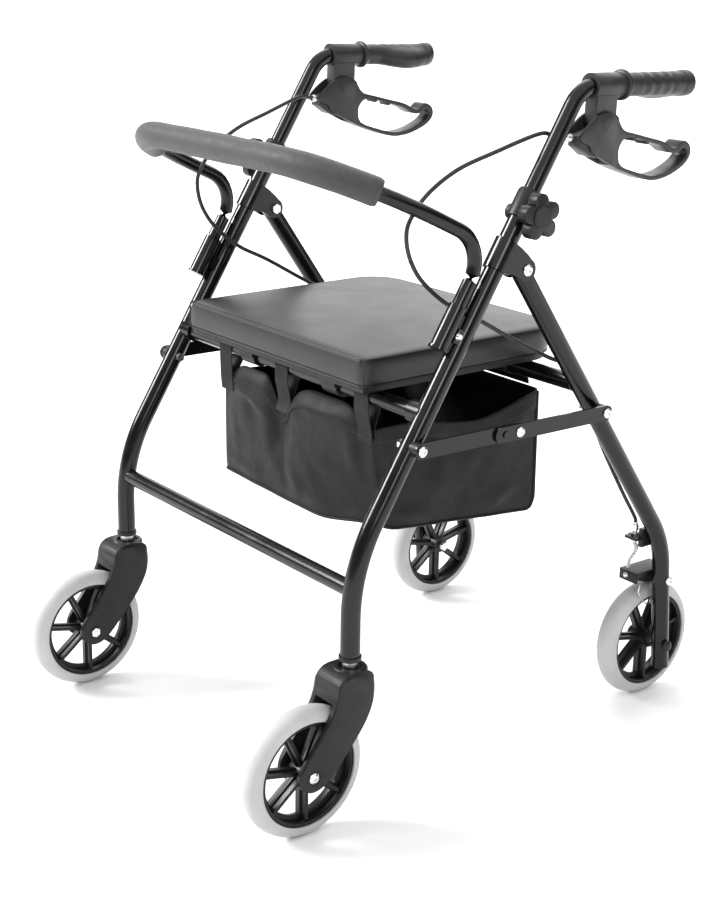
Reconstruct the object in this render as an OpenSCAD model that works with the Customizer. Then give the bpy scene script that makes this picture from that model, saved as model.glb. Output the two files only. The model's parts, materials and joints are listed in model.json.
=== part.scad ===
// Folding four-wheel walker with a seat, back bar, storage bag and loop brakes.
// +X is the user's left, -Y is the travel direction, +Z is up. Millimetres.

/* [Frame] */
// Distance of each main tube from the middle plane
tube_x = 236.5; // [225:0.5:245]
// Outside diameter of the main tubes
tube_d = 22.2; // [19:0.1:25.4]
// Lean of the main tubes from upright, in degrees
lean = 31.85; // [28:0.05:34]
// Lean of the rear legs from upright, in degrees
leg_lean = 35.4; // [32:0.1:38]
// Outside diameter of the rear legs
leg_d = 22; // [19:0.1:25.4]
// Outside diameter of the front and seat crossbars
bar_d = 19; // [16:0.5:22]

/* [Wheels] */
// Wheel diameter over the tyre
wheel_d = 152; // [150:1:160]
// Tyre width
tyre_w = 29; // [24:0.5:32]
// Distance of each axle from the middle of the part, front and rear
axle_y = 282.5; // [270:0.5:290]
// Distance of each rear wheel from the middle plane
rear_wheel_x = 206.5; // [200:0.5:208]
// Number of spokes in each wheel
spokes = 7; // [5:1:8]

/* [Handles] */
// Outside diameter of the handle tubes
handle_d = 19; // [18:0.1:19.2]
// Height of the handle tube centre at the bend
handle_z = 784.5; // [780:0.5:830]
// Length of the handle tube past its bend
handle_run = 165; // [150:1:190]
// Number of lobes on each height knob
knob_lobes = 5; // [4:1:6]

/* [Seat] */
// Half width of the seat
seat_half = 175; // [150:1:182]
// Front edge of the seat
seat_front = -160; // [-165:1:-145]
// Rear edge of the seat
seat_rear = 145; // [130:1:155]
// Underside of the seat base
seat_z = 462; // [461:0.5:464]

/* [Back bar] */
// Outside diameter of the back bar tube
back_d = 16.5; // [15:0.1:17]
// Outside diameter of the foam sleeve
foam_d = 31; // [26:1:36]

/* [Bag] */
// Half width of the bag
bag_half = 150; // [130:1:155]
// Wall thickness of the bag
bag_t = 2.4; // [2:0.1:4]

/* [Hidden] */
$fn = 48;
tube_r = tube_d / 2;
leg_r = leg_d / 2;
bar_r = bar_d / 2;
handle_r = handle_d / 2;
back_r = back_d / 2;
wheel_r = wheel_d / 2;
su = sin(lean);
cu = cos(lean);
// pin joining the front link to the main tube
pin_a = [-142.5, 417];
// axis of the frame hinge
hinge_p = [5, 594];
// pin joining the rear link to the rear leg
pin_b = hinge_p + 220.8 * [sin(leg_lean), -cos(leg_lean)];
// pin joining the two links, on the line between the outer pins
link_dir = (pin_b - pin_a) / norm(pin_b - pin_a);
pin_m = pin_a + 138.5 * link_dir;
link_tilt = atan2(link_dir[1], link_dir[0]);
// distances along the main tube, measured up from the link pin
hinge_s = (hinge_p[0] - pin_a[0]) * su + (hinge_p[1] - pin_a[1]) * cu;
hinge_t = (hinge_p[0] - pin_a[0]) * cu - (hinge_p[1] - pin_a[1]) * su;
collar_s = 272;
tube_top_s = 302;
knob_s = 279;
socket_s = 105;
socket_t = -24.5;
stem_y = -219;
seat_bar = [-122.6, 449];
rear_bar = [102.5, 449.3];
front_bar = [-215.2, 269];
brake_pivot = [279, 166];
lever_pivot = [34, -39];
handle_s = (handle_z - pin_a[1]) / cu;
handle_y = pin_a[0] + handle_s * su;
toe = 2.2;
dip = 1.5;
pin_gap = 0.05;

function unit(v) = v / norm(v);
function on_main(s, t) = [tube_x, pin_a[0] + s * su + t * cu, pin_a[1] + s * cu - t * su];
function on_leg(d) = [tube_x, hinge_p[0] + d * sin(leg_lean), hinge_p[1] - d * cos(leg_lean)];
function on_handle(p) = [
    tube_x + p[0] * cos(toe) - (p[1] * cos(dip) + p[2] * sin(dip)) * sin(toe),
    handle_y + p[0] * sin(toe) + (p[1] * cos(dip) + p[2] * sin(dip)) * cos(toe),
    handle_z - p[1] * sin(dip) + p[2] * cos(dip)];

// an arc of radius r that rounds the corner p between a and b
function corner(a, p, b, r, n) =
    let (d1 = unit(p - a), d2 = unit(b - p), th = acos(d1 * d2), t = r * tan(th / 2))
    let (n1 = unit(d2 - d1 * (d1 * d2)), s = p - d1 * t)
    [for (k = [0:n]) s + d1 * (r * sin(k * th / n)) + n1 * (r * (1 - cos(k * th / n)))];
function route(p, r, n) = concat([p[0]],
    [for (i = [1:len(p) - 2]) each corner(p[i - 1], p[i], p[i + 1], r[i - 1], n)],
    [p[len(p) - 1]]);
// a smooth open curve through the points p, n steps between each two
function spline(p, n) = concat([for (i = [0:len(p) - 2]) each
    [for (k = [0:n - 1]) let (a = p[max(i - 1, 0)], b = p[i], c = p[i + 1])
    let (d = p[min(i + 2, len(p) - 1)], t = k / n)
    0.5 * (2 * b + (c - a) * t + (2 * a - 5 * b + 4 * c - d) * t * t
    + (3 * b - a - 3 * c + d) * t * t * t)]], [p[len(p) - 1]]);
// a closed outline with its corners cut twice
function soften(p) = [for (i = [0:len(p) - 1]) let (a = p[i], b = p[(i + 1) % len(p)])
    each [0.78 * a + 0.22 * b, 0.22 * a + 0.78 * b]];

main_corner = [tube_x, stem_y, pin_a[1] + (stem_y - pin_a[0]) / tan(lean)];
main_path = route([[tube_x, stem_y, 195], main_corner, on_main(tube_top_s, 0)], [200], 12);
leg_corner = [tube_x, 272.1, 218.4];
leg_path = route([on_leg(-12), leg_corner, [tube_x, 287.3, 44]], [130], 10);
handle_path = route([on_main(102, 0), [tube_x, handle_y, handle_z], on_handle([0, handle_run, 0])],
    [42], 10);
function back_end(d) = on_main(socket_s + d, socket_t);
back_path = route([back_end(4), [tube_x, -42.1, 625.1], [tube_x - 3, -229, 713.5],
    [3 - tube_x, -229, 713.5], [-tube_x, -42.1, 625.1],
    [-tube_x, back_end(4)[1], back_end(4)[2]]], [40, 130, 130, 40], 8);
back_up = unit(cross([1, 0, 0], [0, -186.9, 88.4]));
cable_points = [on_handle([-7, -18.6, -54.3]), [223.5, 58, 732.5], [220, 40, 734], [213, -14, 718],
    [208, -63, 702], [205, -101, 679], [203, -122, 654], [202, -126, 634], [202, -119, 609],
    [202, -101, 584], [203, -66, 556], [204, -20, 533], [206, 37, 501], [208, 84, 477],
    [214, 112, 463], [218, 130, 436], [219, 150, 398], [219, 176, 350], [216, 216, 290],
    [212, 246, 250], [212, 250, 241]];
cable_path = spline(cable_points, 3);

module tube(path, r, ref, n) {
    m = len(path);
    dirs = [for (i = [0:m - 1]) unit(path[min(i + 1, m - 1)] - path[max(i - 1, 0)])];
    points = [for (i = [0:m - 1]) let (a = unit(cross(ref, dirs[i])), b = cross(dirs[i], a))
        for (j = [0:n - 1]) path[i] + r * (cos(360 * j / n) * a + sin(360 * j / n) * b)];
    faces = concat([[for (j = [0:n - 1]) j]],
        [[for (j = [n - 1:-1:0]) (m - 1) * n + j]],
        [for (i = [0:m - 2]) for (j = [0:n - 1]) [i * n + j, (i + 1) * n + j, (i + 1) * n + (j + 1) % n]],
        [for (i = [0:m - 2]) for (j = [0:n - 1]) [i * n + j, (i + 1) * n + (j + 1) % n, i * n + (j + 1) % n]]);
    polyhedron(points, faces, convexity = 8);
}

// a hollow bent tube with open ends, outer radius r and inner radius q
module pipe(path, r, q, ref, n) {
    m = len(path);
    k = m * n;
    dirs = [for (i = [0:m - 1]) unit(path[min(i + 1, m - 1)] - path[max(i - 1, 0)])];
    points = [for (s = [r, q]) for (i = [0:m - 1])
        let (a = unit(cross(ref, dirs[i])), b = cross(dirs[i], a))
        for (j = [0:n - 1]) path[i] + s * (cos(360 * j / n) * a + sin(360 * j / n) * b)];
    cells = [for (i = [0:m - 2]) for (j = [0:n - 1])
        [i * n + j, (i + 1) * n + j, (i + 1) * n + (j + 1) % n, i * n + (j + 1) % n]];
    rims = [for (e = [[0, 1], [(m - 1) * n, 0]]) for (j = [0:n - 1])
        let (u = e[0] + j, v = e[0] + (j + 1) % n)
        each e[1] == 1 ? [[u, v, v + k], [u, v + k, u + k]] : [[v, u, u + k], [v, u + k, v + k]]];
    faces = concat([for (c = cells) each [[c[0], c[1], c[2]], [c[0], c[2], c[3]]]],
        [for (c = cells) each [[c[0] + k, c[2] + k, c[1] + k], [c[0] + k, c[3] + k, c[2] + k]]], rims);
    polyhedron(points, faces, convexity = 8);
}

// the same piece on the user's right
module other_side() {
    mirror([1, 0, 0]) children();
}

module both_sides() {
    children();
    mirror([1, 0, 0]) children();
}

// a cylinder along X between x0 and x1 at p = [y, z]
module rod_x(p, r, x0, x1) {
    translate([x0, p[0], p[1]]) rotate([0, 90, 0]) cylinder(h = x1 - x0, r = r);
}

// a flat outline in [y, z] given thickness along X
module slab(x0, x1) {
    translate([x0, 0, 0]) rotate([90, 0, 90]) linear_extrude(x1 - x0) children();
}

// a low tapered bolt head facing +X with a hexagon recess
module head_x(p, r, x0, h) {
    translate([x0, p[0], p[1]]) rotate([0, 90, 0]) difference() {
        union() {
            cylinder(h = h * 0.45, r = r);
            translate([0, 0, h * 0.45]) cylinder(h = h * 0.55, r1 = r, r2 = r * 0.6);
        }
        translate([0, 0, h * 0.5]) cylinder(h = h, r = r * 0.36, $fn = 6);
    }
}

module nut_x(p, r, x0, x1) {
    translate([x0, p[0], p[1]]) rotate([0, 90, 0]) cylinder(h = x1 - x0, r = r, $fn = 6);
}

// local frame on the main tube: z along the tube, y to its rear
module at_main(s) {
    translate(on_main(s, 0)) rotate([-lean, 0, 0]) children();
}

module at_handle() {
    translate([tube_x, handle_y, handle_z]) rotate([-dip, 0, toe]) children();
}

// ---------------------------------------------------------------- frame

module main_tube() {
    difference() {
        tube(main_path, tube_r, [1, 0, 0], 32);
        tube(route([[tube_x, stem_y, 205], main_corner, on_main(100, 0)], [200], 8),
            tube_r - 1.5, [1, 0, 0], 20);
        at_main(95) cylinder(h = 220, r = handle_r + 0.3);
        translate([tube_x, stem_y, 190]) cylinder(h = 24, r = 8.6);
        rod_x(pin_a, 3 + pin_gap, tube_x - 20, tube_x + 20);
        at_main(knob_s) rotate([25, 0, 0]) rotate([0, 90, 0]) cylinder(h = 20, r = 3.2);
    }
}

module main_tube_left() {
    color("#151515") main_tube();
}

module main_tube_right() {
    color("#151515") other_side() main_tube();
}

module crossbar(p) {
    difference() {
        rod_x(p, bar_r, -tube_x, tube_x);
        rod_x(p, bar_r - 1.4, -tube_x, tube_x);
        both_sides() tube(main_path, tube_r + 0.05, [1, 0, 0], 32);
    }
}

module front_crossbar() {
    color("#151515") crossbar(front_bar);
}

module seat_crossbar() {
    color("#151515") difference() {
        union() {
            rod_x(seat_bar, bar_r, -tube_x, tube_x);
            both_sides() rod_x(seat_bar, 12.5, 216, tube_x);
        }
        rod_x(seat_bar, bar_r - 1.4, -tube_x, tube_x);
        both_sides() tube(main_path, tube_r + 0.05, [1, 0, 0], 32);
    }
}

module tube_collar() {
    difference() {
        union() {
            at_main(collar_s) {
                cylinder(h = 30, r = 14);
                translate([0, 0, 30]) cylinder(h = 3, r1 = 14, r2 = 12.6);
            }
            // tongue that carries the clamp screw
            at_main(knob_s) rotate([0, 90, 0]) cylinder(h = 16.5, r1 = 10, r2 = 8);
            at_main(knob_s) translate([0, -8, 0]) cube([15, 16, 14]);
            at_main(knob_s) rotate([0, -90, 0]) cylinder(h = 17, r = 8.5);
        }
        tube(main_path, tube_r + 0.08, [1, 0, 0], 32);
        at_main(collar_s - 20) cylinder(h = 60, r = handle_r + 0.4);
        at_main(knob_s) rotate([0, 90, 0]) cylinder(h = 30, r = 3.2);
    }
}

module tube_collars() {
    color("#222222") both_sides() tube_collar();
}

module hinge_bracket() {
    t = hinge_t;
    difference() {
        at_main(hinge_s) {
            intersection() {
                translate([0, 0, -18]) difference() {
                    cylinder(h = 35, r = 13.8);
                    translate([0, 0, -1]) cylinder(h = 40, r = tube_r + 0.15);
                }
                translate([-20, -20, -20]) cube([40, 20.2, 40]);
            }
            for (x = [-13.8, 11.35]) slab(x, x + 2.45) difference() {
                union() {
                    polygon([[-1, -18], [9, -17], [16, -12.5], [t, -12.5], [t, 12.5],
                        [24, 14.5], [11, 16.5], [-1, 17]]);
                    translate([t, 0]) circle(r = 12.5);
                }
                translate([t, 0]) circle(r = 4 + pin_gap);
            }
        }
    }
}

module hinge_brackets() {
    color("#1d1d1d") both_sides() hinge_bracket();
}

module backrest_socket() {
    difference() {
        at_main(socket_s) {
            translate([0, socket_t, 0]) cylinder(h = 51, r = 10.2);
            translate([0, socket_t, 0]) cylinder(h = 2.5, r = 11.6);
            translate([-3.5, socket_t + 3, 3]) cube([7, 20, 42]);
            translate([-9, socket_t + 8, 14]) cube([18, 8, 16]);
        }
        tube(main_path, tube_r + 0.08, [1, 0, 0], 32);
        at_main(socket_s + 2.5) translate([0, socket_t, 0]) cylinder(h = 60, r = back_r + 0.08);
    }
}

module backrest_sockets() {
    color("#1a1a1a") both_sides() backrest_socket();
}

module caster_caps() {
    color("#181818") both_sides() translate([tube_x, stem_y, 0]) difference() {
        union() {
            translate([0, 0, 190.2]) cylinder(h = 4.8, r = 12.6);
            translate([0, 0, 194]) cylinder(h = 18, r = 8.5);
        }
        translate([0, 0, 188]) cylinder(h = 18, r = 5.55);
    }
}

module caster_stems() {
    color("#c9c9cc") both_sides() translate([tube_x, stem_y, 0]) {
        translate([0, 0, 158]) cylinder(h = 46, r = 5.5);
        translate([0, 0, 179.3]) cylinder(h = 10.9, r = 9);
    }
}

module frame_bolts() {
    color("#d4d4d8") both_sides() {
        // frame hinge bolts
        rod_x(hinge_p, 3.95, tube_x - 13.9, tube_x + 13.9);
        head_x(hinge_p, 6.5, tube_x + 13.8, 4);
        nut_x(hinge_p, 6.5, tube_x - 18.5, tube_x - 13.8);
        // front link bolts
        rod_x(pin_a, 3, tube_x - 11.2, tube_x + 20.9);
        head_x(pin_a, 6, tube_x + 20.9, 3.6);
        nut_x(pin_a, 5.5, tube_x - 16, tube_x - 11.2);
        // back bar buttons
        at_main(socket_s + 22) translate([9, socket_t + 11.5, 0]) rotate([0, 90, 0])
            cylinder(h = 3, r1 = 4.2, r2 = 2.6);
    }
}

module link_spacer_front() {
    difference() {
        rod_x(pin_a, 8.5, tube_x + 5, tube_x + 17.5);
        tube(main_path, tube_r + 0.05, [1, 0, 0], 32);
        rod_x(pin_a, 3 + pin_gap, tube_x, tube_x + 30);
    }
}

module link_spacers_front() {
    color("#202020") both_sides() link_spacer_front();
}

module brake_cable_left() {
    color("#2b2b2b") tube(cable_path, 2.5, [1, 0.15, 0.1], 10);
}

module brake_cable_right() {
    color("#2b2b2b") other_side() tube(cable_path, 2.5, [1, 0.15, 0.1], 10);
}

module bag() {
    t = bag_t;
    outer = [[-126, 426], [-124.5, 292], [-112, 272], [120, 262], [133, 276], [131, 418], [118, 406],
        [70, 400], [-40, 397], [-112, 402], [-122.5, 426]];
    inner = [[-126 + t, 440], [-124.5 + t, 292 + t], [-112 + t, 272 + t], [120 - t, 262 + t],
        [133 - t, 276 + t], [131 - t, 440]];
    // shape of the front panel's top edge, seen from the front
    rim = [[-152, 410], [-132, 411], [-110, 421], [-80, 424], [-50, 419], [-30, 392], [-14, 396],
        [4, 406], [34, 423], [90, 425], [116, 420], [138, 411], [152, 410], [152, 440], [-152, 440]];
    color("#1c1c1e") difference() {
        slab(-bag_half, bag_half) polygon(outer);
        slab(-bag_half + t, bag_half - t) polygon(inner);
        translate([0, -105, 0]) rotate([90, 0, 0]) linear_extrude(30) polygon(rim);
    }
}

// loops that hang the bag's front edge from the seat crossbar
module bag_straps() {
    color("#17171a") for (x = [-132, -14, 139]) {
        difference() {
            rod_x(seat_bar, bar_r + 2.4, x - 13, x + 13);
            rod_x(seat_bar, bar_r + 0.4, x - 20, x + 20);
        }
        slab(x - 13, x + 13) polygon([[seat_bar[0] - bar_r - 2.4, seat_bar[1]],
            [seat_bar[0] - bar_r - 0.6, seat_bar[1]], [-126.6, 398], [-128.4, 398]]);
    }
}

// ------------------------------------------------------------ rear frame

module rear_leg() {
    difference() {
        tube(leg_path, leg_r, [1, 0, 0], 32);
        tube(route([on_leg(-14), leg_corner, [tube_x, 287, 48]], [130], 8), leg_r - 1.5, [1, 0, 0], 20);
        rod_x(hinge_p, 4, tube_x - 20, tube_x + 20);
        rod_x(pin_b, 3 + pin_gap, tube_x - 20, tube_x + 20);
        rod_x([axle_y, wheel_r], 4 + pin_gap, tube_x - 20, tube_x + 20);
        rod_x(brake_pivot, 3 + pin_gap, tube_x - 20, tube_x + 20);
    }
}

module rear_leg_left() {
    color("#151515") rear_leg();
}

module rear_leg_right() {
    color("#151515") other_side() rear_leg();
}

module rear_crossbar() {
    color("#151515") difference() {
        rod_x(rear_bar, 10, -tube_x, tube_x);
        rod_x(rear_bar, 8.6, -tube_x, tube_x);
        both_sides() tube(leg_path, leg_r + 0.05, [1, 0, 0], 32);
    }
}

module rear_bolts() {
    color("#d4d4d8") both_sides() {
        rod_x(pin_b, 3, tube_x - 11.2, tube_x + 24.2);
        head_x(pin_b, 6, tube_x + 24.2, 3.6);
        nut_x(pin_b, 5.5, tube_x - 16, tube_x - 11.2);
        rod_x([axle_y, wheel_r], 4, rear_wheel_x - 19, tube_x + 11.2);
        head_x([axle_y, wheel_r], 6.5, tube_x + 11.2, 4);
        nut_x([axle_y, wheel_r], 6.5, rear_wheel_x - 23.5, rear_wheel_x - 18.6);
        rod_x(brake_pivot, 3, tube_x - 16.5, tube_x + 11.2);
        head_x(brake_pivot, 5.5, tube_x + 11.2, 3.4);
    }
}

module link_spacers_rear() {
    color("#202020") both_sides() difference() {
        rod_x(pin_b, 8.5, tube_x + 5, tube_x + 20.8);
        tube(leg_path, leg_r + 0.05, [1, 0, 0], 32);
        rod_x(pin_b, 3 + pin_gap, tube_x, tube_x + 30);
    }
}

module cable_brackets() {
    color("#1a1a1a") both_sides() difference() {
        union() {
            translate([205, 239, 220.5]) cube([20, 24, 3.5]);
            translate([212, 250, 220.5]) cylinder(h = 3.5, r = 9);
            translate([221.8, 246, 212]) cube([6, 22, 24]);
        }
        translate([212, 250, 215]) cylinder(h = 20, r = 3.25);
        tube(leg_path, leg_r + 0.05, [1, 0, 0], 32);
    }
}

module cable_adjusters() {
    color("#cfcfd2") both_sides() translate([212, 250, 0]) {
        translate([0, 0, 215]) cylinder(h = 25.5, r = 3.1);
        translate([0, 0, 224.1]) cylinder(h = 4, r = 5.4, $fn = 6);
        translate([0, 0, 231]) cylinder(h = 7, r = 4.6);
        translate([0, 0, 216.2]) cylinder(h = 4.2, r = 4.8);
    }
}

module brake_springs() {
    color("#bdbdc0") both_sides() tube(spline([[212, 250, 213.2], [212, 254, 207], [211, 255, 201],
        [209, 250, 193], [208, 246, 186], [208, 247, 179.5]], 5), 3.2, [1, 0.1, 0], 16);
}

module bag_rear_sleeve() {
    color("#17171a") difference() {
        union() {
            rod_x(rear_bar, 12.4, -132, 132);
            slab(-132, 132) polygon([[106, 458.3], [113, 450], [131, 424], [128.6, 421], [104, 439]]);
        }
        rod_x(rear_bar, 10.4, -140, 140);
    }
}

// ----------------------------------------------------------------- links

module bar_outline(a, b, r) {
    translate(a) circle(r = r);
    translate(b) circle(r = r);
    translate(a) rotate(atan2(b[1] - a[1], b[0] - a[0])) translate([0, -r]) square([norm(b - a), 2 * r]);
}

module front_links() {
    color("#161616") both_sides() {
        slab(tube_x + 17.6, tube_x + 20.6) difference() {
            bar_outline(pin_a, pin_m, 9);
            translate(pin_a) circle(r = 3 + pin_gap);
        }
        rod_x(pin_m, 5.5, tube_x + 15.6, tube_x + 17.6);
    }
}

module rear_links() {
    stop = pin_m - 27 * link_dir;
    color("#161616") both_sides() {
        slab(tube_x + 20.95, tube_x + 23.95) difference() {
            bar_outline(pin_b, stop, 9);
            translate(pin_b) circle(r = 3 + pin_gap);
            translate(pin_m) circle(r = 3 + pin_gap);
        }
        rod_x(pin_m - 21 * link_dir, 4, tube_x + 23.9, tube_x + 25.6);
    }
}

module link_rivets() {
    color("#d4d4d8") both_sides() {
        rod_x(pin_m, 3, tube_x + 20.95, tube_x + 24);
        head_x(pin_m, 6, tube_x + 24, 3.4);
    }
}

// ------------------------------------------------------------------ seat

module seat_outline(inset) {
    w = seat_half - inset;
    a = seat_front + inset;
    b = seat_rear - inset;
    r = 46 - inset;
    translate([-w, a]) square([2 * w, b - a - r]);
    translate([-w + r, a]) square([2 * (w - r), b - a]);
    for (x = [-w + r, w - r]) translate([x, b - r]) circle(r = r, $fn = 64);
}

module seat_cushion() {
    mid = (seat_front + seat_rear) / 2;
    color("#2a2a2a") {
        translate([0, 0, seat_z + 5.5]) linear_extrude(33.5) seat_outline(0);
        translate([0, mid, seat_z + 39]) linear_extrude(7.5, scale = 0.86)
            translate([0, -mid]) seat_outline(2);
    }
}

module seat_base() {
    color("#1b1b1b") translate([0, 0, seat_z]) linear_extrude(5.4) seat_outline(5);
}

module seat_clips() {
    color("#202020") for (x = [-82, 82]) difference() {
        union() {
            translate([x - 14, seat_bar[0] - 15, seat_bar[1]]) cube([28, 30, seat_z - seat_bar[1] - 0.05]);
            rod_x(seat_bar, 12.9, x - 14, x + 14);
        }
        rod_x(seat_bar, bar_r + pin_gap, x - 20, x + 20);
    }
}

// --------------------------------------------------------------- casters

module caster_fork() {
    cheek = soften(soften([[-247, 183], [-203, 183], [-200, 160], [-202, 142], [-212, 122],
        [-226, 104], [-256, 70], [-270, 59], [-285, 57], [-299, 66], [-301, 82], [-292, 96],
        [-266, 128], [-252, 152]]));
    difference() {
        union() {
            slab(tube_x - 20.5, tube_x + 20.5) polygon(cheek);
            translate([tube_x, -250, 120]) for (s = [0, 180]) rotate([0, 0, s])
                translate([20.4, 0, 0]) rotate([90, 0, 90]) linear_extrude(2.6, scale = 0.94)
                polygon([for (p = cheek) [(s == 0 ? 1 : -1) * (p[0] + 250), p[1] - 120]]);
            translate([tube_x, stem_y, 164]) cylinder(h = 17, r = 19.5);
            translate([tube_x, stem_y, 181]) cylinder(h = 2, r1 = 19.5, r2 = 18);
        }
        // room for the wheel
        rod_x([-axle_y, wheel_r], wheel_r + 5, tube_x - 16, tube_x + 16);
        translate([tube_x - 16, -380, 60]) cube([32, 100, 60]);
        // stem bearing and cup
        translate([tube_x, stem_y, 150]) cylinder(h = 40, r = 5.5 + pin_gap);
        translate([tube_x, stem_y, 179]) cylinder(h = 10, r = 13.5);
        rod_x([-axle_y, wheel_r], 4 + pin_gap, tube_x - 30, tube_x + 30);
        // recesses for the axle heads
        rod_x([-axle_y, wheel_r], 8.2, tube_x + 21.5, tube_x + 30);
        rod_x([-axle_y, wheel_r], 8.2, tube_x - 30, tube_x - 21.5);
    }
}

module fork_left() {
    color("#232323") caster_fork();
}

module fork_right() {
    color("#232323") other_side() caster_fork();
}

module front_axle() {
    p = [-axle_y, wheel_r];
    rod_x(p, 4, tube_x - 21.6, tube_x + 21.6);
    head_x(p, 6.4, tube_x + 21.5, 4);
    nut_x(p, 6.4, tube_x - 25.5, tube_x - 21.5);
}

module axle_front_left() {
    color("#d4d4d8") front_axle();
}

module axle_front_right() {
    color("#d4d4d8") other_side() front_axle();
}

// ---------------------------------------------------------------- wheels

module hub(p) {
    translate([p[0], p[1], wheel_r]) rotate([0, 90, 0]) difference() {
        union() {
            difference() {
                translate([0, 0, -12.5]) cylinder(h = 25, r = wheel_r - 15, $fn = 72);
                translate([0, 0, -13]) cylinder(h = 26, r = wheel_r - 19.5, $fn = 72);
            }
            difference() {
                translate([0, 0, -2]) cylinder(h = 4, r = wheel_r - 17, $fn = 72);
                translate([0, 0, -3]) cylinder(h = 6, r = wheel_r - 25, $fn = 72);
            }
            translate([0, 0, -15]) cylinder(h = 30, r = 11);
            for (k = [0:spokes - 1]) rotate(k * 360 / spokes) {
                translate([6, -2.2, -9]) cube([wheel_r - 24, 4.4, 18]);
                translate([7, -4.4, -1.6]) cube([wheel_r - 26, 8.8, 3.2]);
            }
        }
        translate([0, 0, -20]) cylinder(h = 40, r = 4 + pin_gap);
    }
}

module tyre(p) {
    c = wheel_r - tyre_w / 2;
    translate([p[0], p[1], wheel_r]) rotate([0, 90, 0]) rotate_extrude($fn = 72) difference() {
        translate([c, 0]) circle(r = tyre_w / 2, $fn = 40);
        translate([0, -tyre_w]) square([wheel_r - 14.95, 2 * tyre_w]);
    }
}

module hub_front_left() {
    color("#1a1a1a") hub([tube_x, -axle_y]);
}

module hub_front_right() {
    color("#1a1a1a") hub([-tube_x, -axle_y]);
}

module hub_rear_left() {
    color("#1a1a1a") hub([rear_wheel_x, axle_y]);
}

module hub_rear_right() {
    color("#1a1a1a") hub([-rear_wheel_x, axle_y]);
}

module tyre_front_left() {
    color("#d8d8d8") tyre([tube_x, -axle_y]);
}

module tyre_front_right() {
    color("#d8d8d8") tyre([-tube_x, -axle_y]);
}

module tyre_rear_left() {
    color("#d8d8d8") tyre([rear_wheel_x, axle_y]);
}

module tyre_rear_right() {
    color("#d8d8d8") tyre([-rear_wheel_x, axle_y]);
}

// --------------------------------------------------------------- handles

module handle_tube() {
    difference() {
        tube(handle_path, handle_r, [1, 0, 0], 32);
        tube(route([on_main(95, 0), [tube_x, handle_y, handle_z], on_handle([0, handle_run + 5, 0])],
            [42], 8), handle_r - 1.5, [1, 0, 0], 20);
    }
}

module handle_tube_left() {
    color("#151515") handle_tube();
}

module handle_tube_right() {
    color("#151515") other_side() handle_tube();
}

module grip() {
    at_handle() rotate([-90, 0, 0]) difference() {
        union() {
            hull() {
                translate([0, 0, 92]) sphere(r = 10, $fn = 28);
                translate([-12, 5, 116]) sphere(r = 9, $fn = 28);
                translate([-16, 8, 138]) sphere(r = 9, $fn = 28);
                translate([-12, 5, 155]) sphere(r = 9, $fn = 28);
                translate([0, 0, 167]) sphere(r = 11, $fn = 28);
            }
            rotate_extrude($fn = 48) polygon([[0, 60.5], [15.5, 60.5], [17, 62.5], [17, 66], [14.5, 69],
            [13, 72], [13.2, 80], [13.8, 88], [13.2, 96], [13.8, 104], [13.2, 112], [13.8, 120],
            [13.2, 128], [13.8, 136], [13.3, 147], [13.5, 161], [14.6, 165], [14.8, 171], [13, 177],
            [8, 180], [0, 181]]);
        }
        translate([0, 0, 50]) cylinder(h = 50 + handle_run - 99, r = handle_r + 0.15);
    }
}

module grip_left() {
    color("#333333") grip();
}

module grip_right() {
    color("#333333") other_side() grip();
}

module brake_housing() {
    difference() {
        at_handle() {
            translate([0, 14, 0]) rotate([-90, 0, 0]) cylinder(h = 45.5, r = 14);
            slab(-9, 9) {
                polygon([[18, -6], [18, -39], [50, -39], [50, -6]]);
                translate(lever_pivot) circle(r = 16);
                polygon([[22, -42], [-5, -53], [-5, -64], [12, -75], [28, -78], [36, -50]]);
            }
        }
        tube(handle_path, handle_r + 0.1, [1, 0, 0], 32);
        at_handle() rod_x(lever_pivot, 3 + pin_gap, -20, 20);
        at_handle() translate([-2.4, 0, -56]) rotate([85, 0, -14]) cylinder(h = 20, r = 2.6);
    }
}

module brake_housing_left() {
    color("#262626") brake_housing();
}

module brake_housing_right() {
    color("#262626") other_side() brake_housing();
}

module brake_hardware() {
    at_handle() {
        rod_x(lever_pivot, 3, -12, 12);
        translate([-2.4, 0, -56]) rotate([85, 0, -14]) {
            translate([0, 0, 1]) cylinder(h = 16, r = 2.55);
            translate([0, 0, 6.9]) cylinder(h = 10, r = 3.1);
            translate([0, 0, 6.9]) cylinder(h = 4, r = 4.2, $fn = 16);
            translate([0, 0, 12.1]) cylinder(h = 3, r1 = 4.6, r2 = 3.8);
        }
    }
}

module brake_hardware_left() {
    color("#c9c9cc") brake_hardware();
}

module brake_hardware_right() {
    color("#c9c9cc") other_side() brake_hardware();
}

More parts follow.
